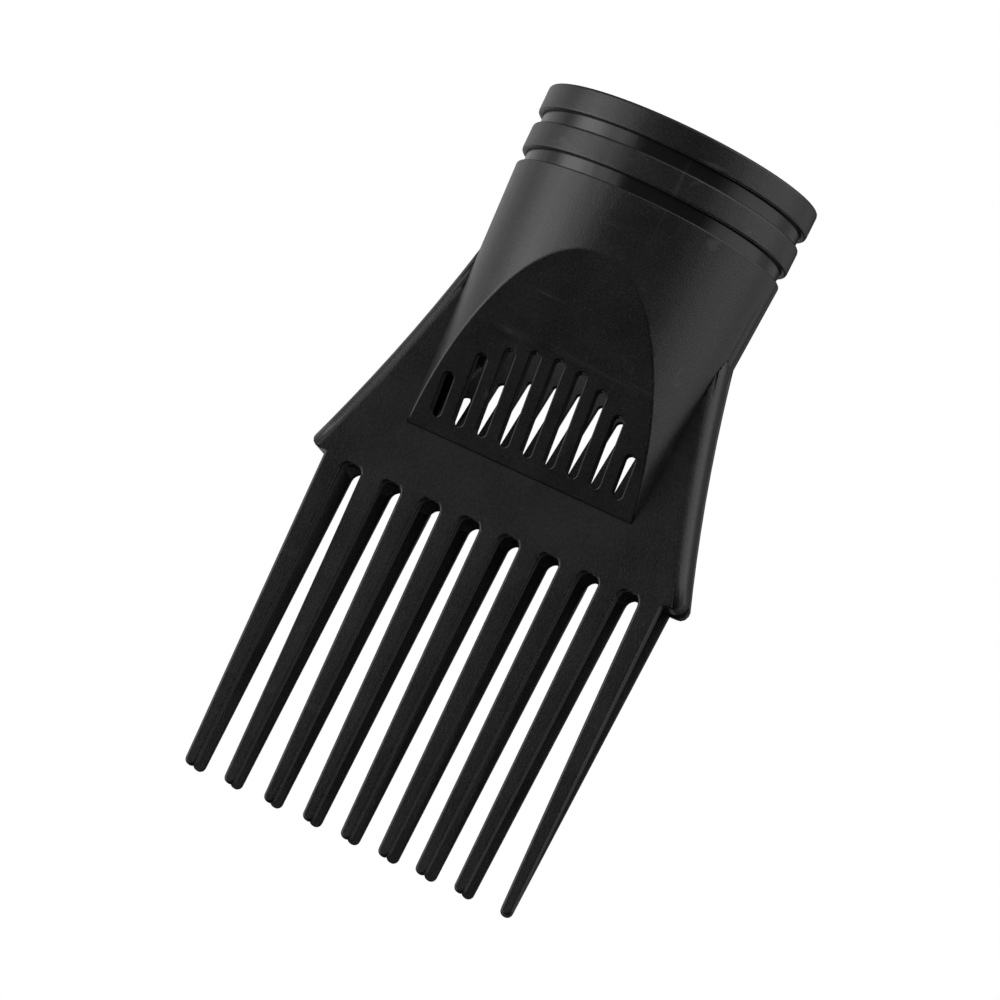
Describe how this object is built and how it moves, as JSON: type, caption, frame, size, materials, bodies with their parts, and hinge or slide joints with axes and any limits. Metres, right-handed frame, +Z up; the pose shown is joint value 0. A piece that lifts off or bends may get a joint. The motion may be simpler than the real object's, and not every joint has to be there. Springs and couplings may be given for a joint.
{
  "type": "hair dryer comb nozzle",
  "caption": "Push-on hair dryer nozzle whose round collar narrows to a vented duct feeding two facing rows of wide-set comb teeth.",
  "frame": {"origin": "midway between the two rows of teeth, at the level of the tooth tips, below the collar's centre", "axes": "+Z up from the tooth tips to the collar rim, along the collar's axis; X across the comb; -Y is the front"},
  "size_m": [0.073, 0.0526, 0.1357],
  "materials": {
    "groove_gloss": "smooth black plastic with clear reflections",
    "body_matte": "fine spark-textured black plastic",
    "comb_matte": "fine satin-textured black plastic"
  },
  "bodies": {
    "root": {"collar_sleeve": "groove_gloss", "upper_band": "body_matte", "lower_band": "body_matte", "front_duct": "body_matte", "rear_duct": "body_matte", "front_comb": "comb_matte", "rear_comb": "comb_matte"}
  },
  "joints": []
}
